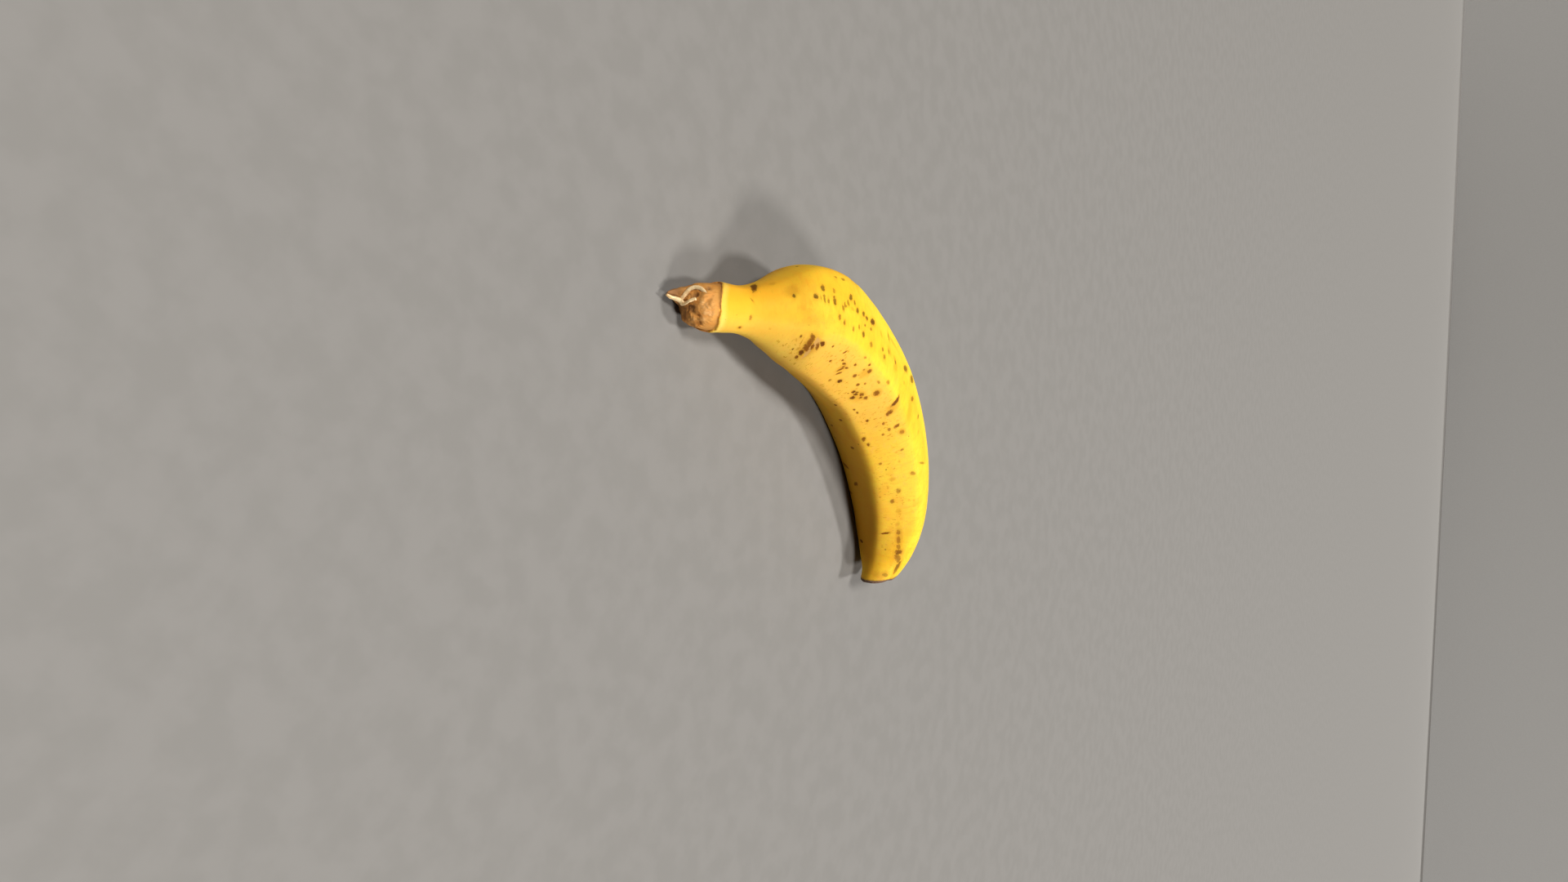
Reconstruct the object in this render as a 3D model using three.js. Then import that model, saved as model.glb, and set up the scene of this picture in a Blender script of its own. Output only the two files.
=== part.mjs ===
// A banana lying on its side, grown as one piece: ridged body, neck, torn stem end and blossom tip.
// Millimetres, +Z up, resting on Z = 0. The stem end is at -X and the tip at +X; the back bulges to +Y.
import * as THREE from 'three';

// Middle line of the fruit, from the torn end to the tip: x, y, z.
const MIDDLE_LINE = [
  [-73.0, -3.5, 7.4],
  [-62.0, 5.5, 9.0],
  [-51.2, 14.1, 13.0],
  [-39.5, 22.6, 16.7],
  [-19.3, 29.6, 16.6],
  [3.0, 33.3, 16.2],
  [33.4, 28.9, 15.4],
  [59.0, 17.5, 13.1],
  [68.5, 8.5, 11.3],
  [72.4, -0.5, 10.2],
  [72.9, -8.0, 9.7],
];

// Half width of the fruit at shares of the length of the middle line.
const HALF_WIDTHS = [
  [0.0, 7.7],
  [0.05, 7.6],
  [0.09, 7.4],
  [0.13, 9.3],
  [0.17, 12.9],
  [0.21, 16.6],
  [0.26, 17.8],
  [0.34, 17.9],
  [0.45, 17.1],
  [0.57, 16.9],
  [0.68, 16.1],
  [0.8, 14.8],
  [0.88, 12.9],
  [0.94, 9.9],
  [0.98, 6.9],
  [1.0, 5.2],
];

// The five ridges round the middle line, in degrees: 0 is the hollow side and 90 the top.
const RIDGES = [7, 65, 142, 222, 299];
const SEGMENTS_PER_FACE = 10;

// Rings of points along the skin: from one share of the length to another, and how many.
const RING_SPANS = [
  { from: 0, to: 0.1, rings: 6 },
  { from: 0.1, to: 0.3, rings: 16 },
  { from: 0.3, to: 0.86, rings: 24 },
  { from: 0.86, to: 1, rings: 9 },
];

// How far the section leaves a circle towards five flat faces at shares of the length.
const FLATNESS = [
  [0.0, 0.1],
  [0.1, 0.2],
  [0.3, 0.6],
  [0.85, 0.6],
  [1.0, 0.3],
];
const RIDGE_CRISPNESS = 24;

// The skin is torn back from the crest of the stem: further on the outer side than on the hollow side.
const TORN_BACK_OUTER = 7.0;
const TORN_BACK_HOLLOW = 3.5;
const TORN_BLEND = 16.0;

// The dry core bulges out of the torn skin. Each ring of it is a share of the stem's half width.
const CORE_SHARES = [0.18, 0.32, 0.44, 0.54, 0.63, 0.71, 0.79, 0.87];
const LIP_SHARE = 0.93;
const CORE_RIM_REACH = 1.8;
const CORE_RIM_SLANT = 0.8;
const CORE_HEART_REACH = 5.0;
const RAGGED_REACH = 0.45;

// Waves round the ragged core: how many, how far they turn from heart to rim, and where they start.
const RAGGED_WAVES = [
  { count: 5, turn: 7, start: 0 },
  { count: 8, turn: -15, start: 1 },
];

// One strip of the core reaches further, low on the outer side.
const STRIP_REACH = 8.0;
const STRIP_ANGLE = 232;
const STRIP_HALF_ANGLE = 25;
const STRIP_SHARE = 0.66;
const STRIP_HALF_SHARE = 0.15;

// The blossom end: share of the last half width, and how far each ring stands past the middle line.
const BLOSSOM_RINGS = [
  [0.93, 0.5],
  [0.78, 0.8],
  [0.68, 0.1],
  [0.4, -0.3],
  [0.2, 0.5],
];
const BLOSSOM_HEART = 0.7;

// The blossom end is askew: its hollow side stands past the end of the middle line, its back falls short.
const TIP_REACH = 0.4;
const TIP_SLANT = 4.2;
const TIP_BLEND = 14.0;

// The skin is pressed flat where it would reach below the surface that the fruit rests on.
const FLOOR = 0;

const middleLine = new THREE.CatmullRomCurve3(
  MIDDLE_LINE.map(([x, y, z]) => new THREE.Vector3(x, y, z)),
  false,
  'centripetal',
);
middleLine.arcLengthDivisions = 400;
const LENGTH = middleLine.getLength();
const UP = new THREE.Vector3(0, 0, 1);

/** A smooth curve through [share, value] pairs. */
function profile(pairs) {
  const shares = pairs.map(([share]) => share);
  const values = pairs.map(([, value]) => value);
  const curve = new THREE.CubicInterpolant(shares, values, 1);
  return (share) => curve.evaluate(THREE.MathUtils.clamp(share, 0, 1))[0];
}

const halfWidth = profile(HALF_WIDTHS);
const flatness = profile(FLATNESS);

const FACES = RIDGES.map((from, index) => ({
  from,
  to: index + 1 < RIDGES.length ? RIDGES[index + 1] : RIDGES[0] + 360,
}));

/** Radius of the five-faced section at an angle, with its ridges near 1. */
function fiveFaced(degrees) {
  const sum = FACES.reduce((total, face) => {
    const halfGap = THREE.MathUtils.degToRad((face.to - face.from) / 2);
    const offFace = THREE.MathUtils.degToRad(degrees - (face.from + face.to) / 2);
    return total + (Math.max(0, Math.cos(offFace)) / Math.cos(halfGap)) ** RIDGE_CRISPNESS;
  }, 0);
  return sum ** (-1 / RIDGE_CRISPNESS);
}

/** Angles round the section, with one on each ridge. */
function sectionAngles() {
  const shares = [...Array(SEGMENTS_PER_FACE).keys()].map((step) => step / SEGMENTS_PER_FACE);
  return FACES.flatMap((face) => shares.map((share) => (face.from + (face.to - face.from) * share) % 360));
}

const ANGLES = sectionAngles();
const MEAN_RADIUS = ANGLES.reduce((sum, angle) => sum + fiveFaced(angle), 0) / ANGLES.length;

/** Section radius at a share of the length, relative to the half width there. */
function sectionRadius(share, degrees) {
  return 1 + flatness(share) * (fiveFaced(degrees) / MEAN_RADIUS - 1);
}

/** Point at a distance along the middle line, which runs on straight past both ends. */
function pointOnSkin(distance, degrees, shareOfWidth = 1) {
  const share = THREE.MathUtils.clamp(distance / LENGTH, 0, 1);
  const along = middleLine.getTangentAt(share);
  const hollow = new THREE.Vector3().crossVectors(along, UP).normalize();
  const rise = new THREE.Vector3().crossVectors(hollow, along);
  const radius = halfWidth(share) * sectionRadius(share, degrees) * shareOfWidth;
  const angle = THREE.MathUtils.degToRad(degrees);
  const point = middleLine.getPointAt(share);
  point.addScaledVector(along, distance - share * LENGTH);
  point.addScaledVector(hollow, radius * Math.cos(angle));
  point.addScaledVector(rise, radius * Math.sin(angle));
  point.z = Math.max(point.z, FLOOR);
  return point;
}

/** How far the skin is torn back from the crest at an angle. */
function tornBack(degrees) {
  const sideways = Math.cos(THREE.MathUtils.degToRad(degrees));
  return sideways ** 2 * (sideways < 0 ? TORN_BACK_OUTER : TORN_BACK_HOLLOW);
}

/** How far the blossom end stands past the middle line, at an angle and a share of the half width. */
function tipReach(degrees, share) {
  return TIP_REACH + TIP_SLANT * share * Math.cos(THREE.MathUtils.degToRad(degrees));
}

/** One ring of points from a function of the angle. */
function ring(pointAt) {
  return ANGLES.map((angle) => pointAt(angle));
}

/** A smooth bump that is 1 at 0 and small past 1. */
function bump(offset) {
  return Math.exp(-(offset ** 2));
}

/** How far the core reaches past the crest of the skin, at an angle and a share of the half width. */
function coreReach(degrees, share) {
  const angle = THREE.MathUtils.degToRad(degrees);
  const rim = CORE_RIM_REACH - CORE_RIM_SLANT * Math.sin(angle);
  const bulge = (CORE_HEART_REACH - rim) * (1 - (share / CORE_SHARES.at(-1)) ** 2);
  const waves = RAGGED_WAVES.map(({ count, turn, start }) => Math.sin(count * angle + turn * share + start));
  const ragged = waves.reduce((sum, wave) => sum + wave);
  const acrossStrip = bump((degrees - STRIP_ANGLE) / STRIP_HALF_ANGLE);
  const throughStrip = bump((share - STRIP_SHARE) / STRIP_HALF_SHARE);
  return rim + bulge + RAGGED_REACH * ragged * share + STRIP_REACH * acrossStrip * throughStrip;
}

/** Torn end of the stem, from the ring round its heart back to the edge of the skin. */
function tornEndRings() {
  const facePoint = (angle, share) => pointOnSkin(-coreReach(angle, share), angle, share);
  const face = CORE_SHARES.map((share) => ring((angle) => facePoint(angle, share)));
  const lip = ring((angle) => pointOnSkin(tornBack(angle), angle, LIP_SHARE));
  return [...face, lip];
}

/** Skin from its torn edge to the blossom end. */
function skinRings() {
  const rings = [];
  RING_SPANS.forEach((span) => {
    const last = span.to === 1 ? span.rings : span.rings - 1;
    for (let step = 0; step <= last; step += 1) {
      const distance = LENGTH * (span.from + ((span.to - span.from) * step) / span.rings);
      const nearStem = Math.max(0, 1 - distance / TORN_BLEND) ** 2;
      const nearTip = Math.max(0, 1 - (LENGTH - distance) / TIP_BLEND) ** 2;
      const shift = (angle) => tornBack(angle) * nearStem + tipReach(angle, 1) * nearTip;
      rings.push(ring((angle) => pointOnSkin(distance + shift(angle), angle)));
    }
  });
  return rings;
}

/** Dark scar where the flower was: a low rim, a hollow and a small heart. */
function blossomRings() {
  return BLOSSOM_RINGS.map(([share, reach]) =>
    ring((angle) => pointOnSkin(LENGTH + reach + tipReach(angle, share), angle, share)),
  );
}

/** Closed surface through a row of rings, with a point closing each end. */
function closedThrough(rings, firstPoint, lastPoint) {
  const perRing = rings[0].length;
  const points = [firstPoint, ...rings.flat(), lastPoint];
  const last = points.length - 1;
  const index = [];
  for (let spoke = 0; spoke < perRing; spoke += 1) {
    const beside = (spoke + 1) % perRing;
    index.push(0, 1 + spoke, 1 + beside);
    for (let row = 0; row < rings.length - 1; row += 1) {
      const here = 1 + row * perRing;
      const there = here + perRing;
      index.push(here + spoke, there + spoke, here + beside);
      index.push(there + spoke, there + beside, here + beside);
    }
    index.push(last, last - perRing + beside, last - perRing + spoke);
  }
  const geometry = new THREE.BufferGeometry();
  geometry.setAttribute('position', new THREE.Float32BufferAttribute(points.flatMap((p) => p.toArray()), 3));
  geometry.setIndex(index);
  geometry.computeVertexNormals();
  return geometry;
}

/** The whole fruit. */
function fruitGeometry() {
  const rings = [...tornEndRings(), ...skinRings(), ...blossomRings()];
  const heart = pointOnSkin(-CORE_HEART_REACH, 0, 0);
  const blossomHeart = pointOnSkin(LENGTH + TIP_REACH + BLOSSOM_HEART, 0, 0);
  return closedThrough(rings, heart, blossomHeart);
}

const peel = new THREE.MeshStandardMaterial({ color: 0xe8bf3a, roughness: 0.5, metalness: 0 });
const banana = new THREE.Mesh(fruitGeometry(), peel);
banana.name = 'banana';
banana.geometry.computeBoundingBox();
const middle = banana.geometry.boundingBox.getCenter(new THREE.Vector3());
banana.position.set(-middle.x, -middle.y, 0);

const model = new THREE.Group();
model.add(banana);
export default model;
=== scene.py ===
"""A ripe banana lying on its side, with its speckled peel, torn stem end and dry blossom tip.

Lengths are in millimetres and angles in degrees, apart from the studio's lengths, which are in metres.
"""

import logging
import math
import random
from dataclasses import dataclass, field
from enum import Enum, IntEnum

import bpy
import numpy as np
from mathutils import Matrix, Vector, kdtree, noise


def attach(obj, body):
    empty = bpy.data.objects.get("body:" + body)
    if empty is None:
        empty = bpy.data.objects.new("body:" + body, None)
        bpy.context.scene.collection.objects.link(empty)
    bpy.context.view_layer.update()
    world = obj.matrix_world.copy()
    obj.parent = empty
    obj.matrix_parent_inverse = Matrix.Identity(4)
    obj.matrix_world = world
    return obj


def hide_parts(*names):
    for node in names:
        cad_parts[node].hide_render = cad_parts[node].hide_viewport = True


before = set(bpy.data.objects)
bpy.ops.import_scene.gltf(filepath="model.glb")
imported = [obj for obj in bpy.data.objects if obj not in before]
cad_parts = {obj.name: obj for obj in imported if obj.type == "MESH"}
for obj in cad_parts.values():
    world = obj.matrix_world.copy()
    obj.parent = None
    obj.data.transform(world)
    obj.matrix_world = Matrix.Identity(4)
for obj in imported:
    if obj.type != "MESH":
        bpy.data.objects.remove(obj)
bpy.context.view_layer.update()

MM = 0.001
Colour = tuple[float, float, float]
Place = tuple[float, float, float]
Piece = bpy.types.Object
Numbers = np.ndarray
Value = "Term | float"

log = logging.getLogger("banana")


# --- Shader sheets ---


class Term:
    """A value in a shader, written in sums as a number would be."""

    def __init__(self, sheet: "Sheet", socket: bpy.types.NodeSocket) -> None:
        """Keeps the socket that carries the value and the sheet that it is on."""
        self.sheet = sheet
        self.socket = socket

    def _math(self, operation: str, first: Value, second: Value) -> "Term":
        """Adds one Math node and returns its result."""
        return self.sheet.node("ShaderNodeMath", {"operation": operation}, {0: first, 1: second})

    def __add__(self, other: Value) -> "Term":
        """This value and another."""
        return self._math("ADD", self, other)

    def __sub__(self, other: Value) -> "Term":
        """This value less another."""
        return self._math("SUBTRACT", self, other)

    def __rsub__(self, other: float) -> "Term":
        """A number less this value."""
        return self._math("SUBTRACT", other, self)

    def __mul__(self, other: Value) -> "Term":
        """This value times another."""
        return self._math("MULTIPLY", self, other)

    __radd__ = __add__
    __rmul__ = __mul__

    def or_more(self, other: Value) -> "Term":
        """The greater of this value and another."""
        return self._math("MAXIMUM", self, other)

    def step(self, low: float, high: float) -> "Term":
        """Rises smoothly from 0 to 1 as the value goes from low to high, whichever is greater.

        Args:
            low: The value at which the result is 0.
            high: The value at which the result is 1.

        Returns:
            The smooth step.
        """
        start, end, first, last = (low, high, 0.0, 1.0) if low < high else (high, low, 1.0, 0.0)
        return self.sheet.node(
            "ShaderNodeMapRange",
            {"interpolation_type": "SMOOTHSTEP"},
            {"Value": self, "From Min": start, "From Max": end, "To Min": first, "To Max": last},
        )


class Sheet:
    """The node sheet of one finish."""

    def __init__(self, name: str) -> None:
        """Starts an empty sheet with one Principled shader on it.

        Args:
            name: The finish's name.
        """
        self.material = bpy.data.materials.new(name)
        self.material.use_nodes = True
        self.tree = self.material.node_tree
        self.tree.nodes.clear()
        self.shader = self.tree.nodes.new("ShaderNodeBsdfPrincipled")
        output = self.tree.nodes.new("ShaderNodeOutputMaterial")
        self.tree.links.new(self.shader.outputs[0], output.inputs["Surface"])

    def feed(self, socket: bpy.types.NodeSocket, value: object) -> None:
        """Gives a socket a link where the value is a term, and a constant otherwise.

        Args:
            socket: The socket to feed.
            value: A term, a number, a vector or a colour.
        """
        if isinstance(value, Term):
            self.tree.links.new(value.socket, socket)
        elif isinstance(value, tuple) and socket.type == "RGBA":
            socket.default_value = (*value, 1.0)
        else:
            socket.default_value = value

    def node(
        self,
        kind: str,
        settings: dict[str, object] | None = None,
        inputs: dict[str | int, object] | None = None,
        output: str | int = 0,
    ) -> Term:
        """Adds any node.

        Args:
            kind: The node's type.
            settings: Its own settings, made first.
            inputs: Values or terms for its sockets, by name or number.
            output: The output that is wanted.

        Returns:
            The output as a term.
        """
        made = self.tree.nodes.new(kind)
        for name, value in (settings or {}).items():
            setattr(made, name, value)
        for key, value in (inputs or {}).items():
            self.feed(made.inputs[key], value)
        return Term(self, made.outputs[output])

    def attribute(self, name: str, output: str = "Vector") -> Term:
        """Reads an attribute of the piece."""
        return self.node("ShaderNodeAttribute", {"attribute_name": name}, output=output)

    def parts(self, vector: Term) -> tuple[Term, ...]:
        """Splits a vector into its three components."""
        split = self.node("ShaderNodeSeparateXYZ", {}, {0: vector}).socket.node
        return tuple(Term(self, socket) for socket in split.outputs)

    def stretched(self, place: Term, sizes: Place) -> Term:
        """Divides a place by the size of a pattern along each axis."""
        scale = tuple(1.0 / size for size in sizes)
        return self.node("ShaderNodeVectorMath", {"operation": "MULTIPLY"}, {0: place, 1: scale})

    def cloud(self, place: Term, sizes: Place, detail: float = 2.0, rough: float = 0.5) -> Term:
        """A soft random pattern about 0.5, in blots of the given sizes with rough finer layers."""
        inputs = {"Vector": self.stretched(place, sizes), "Scale": 1.0}
        return self.node("ShaderNodeTexNoise", {}, {**inputs, "Detail": detail, "Roughness": rough})

    def mix(self, first: object, second: object, share: Value) -> Term:
        """Blends two colours; the share is how much of the second shows."""
        settings = {"data_type": "RGBA", "clamp_factor": True}
        return self.node("ShaderNodeMix", settings, {0: share, 6: first, 7: second}, output=2)

    def coats(self, ground: object, *coats: tuple[object, Value]) -> Term:
        """Lays coats of colour over a ground.

        Args:
            ground: The colour below.
            coats: Each coat's colour and how much of it shows, in the order of painting.

        Returns:
            The colour that is seen.
        """
        for colour, share in coats:
            ground = self.mix(ground, colour, share)
        return ground

    def relief(self, height: Term, depth: float, strength: float) -> Term:
        """Turns a height into a bumped normal; the depth is what 1 stands for."""
        inputs = {"Height": height, "Distance": depth * MM, "Strength": strength}
        return self.node("ShaderNodeBump", {}, inputs, output="Normal")

    def finish(self, colour: object, roughness: object, normal: Term, **fixed: float) -> bpy.types.Material:
        """Joins colour, roughness and relief to the shader and sets what is the same all over.

        Args:
            colour: The base colour.
            roughness: The roughness.
            normal: The bumped normal.
            fixed: Other sockets, with _ for each space of their names.

        Returns:
            The finished material.
        """
        self.feed(self.shader.inputs["Base Color"], colour)
        self.feed(self.shader.inputs["Roughness"], roughness)
        self.feed(self.shader.inputs["Normal"], normal)
        for name, value in fixed.items():
            self.shader.inputs[name.replace("_", " ")].default_value = value
        return self.material


# --- Shape of the fruit ---


def half_turn(angle: Numbers) -> Numbers:
    """The same angle, from -180 to 180 degrees."""
    return (angle + 180) % 360 - 180


def rise(value: Numbers, low: float, high: float) -> Numbers:
    """A smooth step from 0 at low to 1 at high."""
    share = np.clip((value - low) / (high - low), 0, 1)
    return share * share * (3 - 2 * share)


@dataclass(frozen=True)
class Bumps:
    """A soft random unevenness."""

    height: float  # How far its bumps stand out.
    sizes: Place  # How wide they are along each axis.
    seed: float  # Shifts the pattern.

    def at(self, places: Numbers) -> Numbers:
        """Its heights at places, up to about the full height either way."""
        scaled = places / np.array(self.sizes) + self.seed
        return self.height * np.array([noise.noise(Vector(place)) for place in scaled])


@dataclass(frozen=True)
class Straightened:
    """Where points lie on the fruit, as if it were bent straight."""

    along: Numbers  # Millimetres from the torn end.
    angle: Numbers  # Degrees round the middle line: 0 is the hollow side and 90 the top.
    reach: Numbers  # Millimetres from the middle line.

    def rows(self, chosen: Numbers) -> "Straightened":
        """The points with the given numbers."""
        return Straightened(self.along[chosen], self.angle[chosen], self.reach[chosen])

    def places(self) -> Numbers:
        """The points of the straight fruit, with the middle line as its first axis."""
        turn = np.radians(self.angle)
        return np.stack([self.along, self.reach * np.cos(turn), self.reach * np.sin(turn)], axis=1)


@dataclass(frozen=True)
class MiddleLine:
    """The line through the middle of the fruit, from the torn end to the tip."""

    stations: tuple[Place, ...] = (  # Points that it passes through.
        (-71.77, -21.38, 7.4), (-60.77, -12.38, 9.0), (-49.97, -3.78, 13.0), (-38.27, 4.72, 16.7),
        (-18.07, 11.72, 16.6), (4.23, 15.42, 16.2), (34.63, 11.02, 15.4), (60.23, -0.38, 13.1),
        (69.73, -9.38, 11.3), (73.63, -18.38, 10.2), (74.13, -25.88, 9.7),
    )
    samples_per_stretch: int = 80  # How finely each stretch between two of them is followed.

    def stretch(self, before: Numbers, start: Numbers, end: Numbers, after: Numbers) -> Numbers:
        """Follows the line between two stations.

        Args:
            before: The station before the stretch.
            start: Its first station.
            end: Its last station.
            after: The station after it.

        Returns:
            Points on the stretch, without its end.
        """
        gaps = [math.sqrt(np.linalg.norm(b - a)) for a, b in ((before, start), (start, end), (end, after))]
        leave = (start - before) / gaps[0] - (end - before) / (gaps[0] + gaps[1]) + (end - start) / gaps[1]
        arrive = (end - start) / gaps[1] - (after - start) / (gaps[1] + gaps[2]) + (after - end) / gaps[2]
        leave, arrive = leave * gaps[1], arrive * gaps[1]
        t = np.linspace(0, 1, self.samples_per_stretch, endpoint=False)[:, None]
        cubic = 2 * start - 2 * end + leave + arrive
        square = 3 * end - 3 * start - 2 * leave - arrive
        return cubic * t**3 + square * t**2 + leave * t + start

    def samples(self) -> Numbers:
        """Follows the whole line.

        Returns:
            Points all along the line, close together.
        """
        stations = np.array(self.stations)
        first, last = 2 * stations[0] - stations[1], 2 * stations[-1] - stations[-2]
        padded = np.vstack([first, stations, last])
        pieces = [self.stretch(*padded[i : i + 4]) for i in range(len(padded) - 3)]
        return np.vstack([*pieces, stations[-1:]])

    def straighten(self, points: Numbers) -> Straightened:
        """Finds where points lie along and round the line.

        Args:
            points: The points.

        Returns:
            Their places on the straightened fruit.
        """
        line = self.samples()
        steps = np.diff(line, axis=0)
        distances = np.concatenate([[0], np.cumsum(np.linalg.norm(steps, axis=1))])
        tangents = np.gradient(line, axis=0)
        tangents /= np.linalg.norm(tangents, axis=1)[:, None]
        tree = kdtree.KDTree(len(line))
        for index, place in enumerate(line):
            tree.insert(place, index)
        tree.balance()
        nearest = np.array([tree.find(point)[1] for point in points])
        along = tangents[nearest]
        beyond = np.einsum("ij,ij->i", points - line[nearest], along)
        out = points - line[nearest] - beyond[:, None] * along
        hollow = np.cross(along, (0, 0, 1))
        hollow /= np.linalg.norm(hollow, axis=1)[:, None]
        top = np.cross(hollow, along)
        angle = np.degrees(np.arctan2(np.einsum("ij,ij->i", out, top), np.einsum("ij,ij->i", out, hollow)))
        return Straightened(distances[nearest] + beyond, angle, np.linalg.norm(out, axis=1))

    def length(self) -> float:
        """Its whole length."""
        return float(np.linalg.norm(np.diff(self.samples(), axis=0), axis=1).sum())


class MarkKind(Enum):
    """How a mark in the peel looks."""

    DARK = "dark"
    BROWN = "brown"
    FAINT = "faint"
    STAIN = "stain"
    SCUFF = "scuff"

    def __call__(self, *sizes: float) -> "Mark":
        """Makes a mark of this kind."""
        return Mark(self, *sizes)


@dataclass(frozen=True)
class Mark:
    """One mark in the peel."""

    kind: MarkKind  # How it looks.
    along: float  # How far its middle is from the torn end.
    angle: float  # The angle of its middle round the fruit.
    length: float  # Half its extent along the fruit.
    width: float  # Half its extent round the fruit.
    turn: float = 0.0  # Degrees by which it leans.

    def within(self, spot: Straightened) -> tuple[Numbers, Numbers]:
        """Where points lie in the mark.

        Args:
            spot: Where the points lie on the straightened fruit.

        Returns:
            Their places across the mark both ways: 0 in its middle and 1 on its edge.
        """
        lengthwise = spot.along - self.along
        around = np.radians(half_turn(spot.angle - self.angle)) * spot.reach
        lean = math.radians(self.turn)
        one = (lengthwise * math.cos(lean) + around * math.sin(lean)) / self.length
        other = (around * math.cos(lean) - lengthwise * math.sin(lean)) / self.width
        return one, other

    def depth(self, spot: Straightened) -> Numbers:
        """How deep in the mark each point is: 1 in its middle, 0 on its edge and down to -1."""
        return np.clip(1 - np.hypot(*self.within(spot)), -1, 1)


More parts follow.
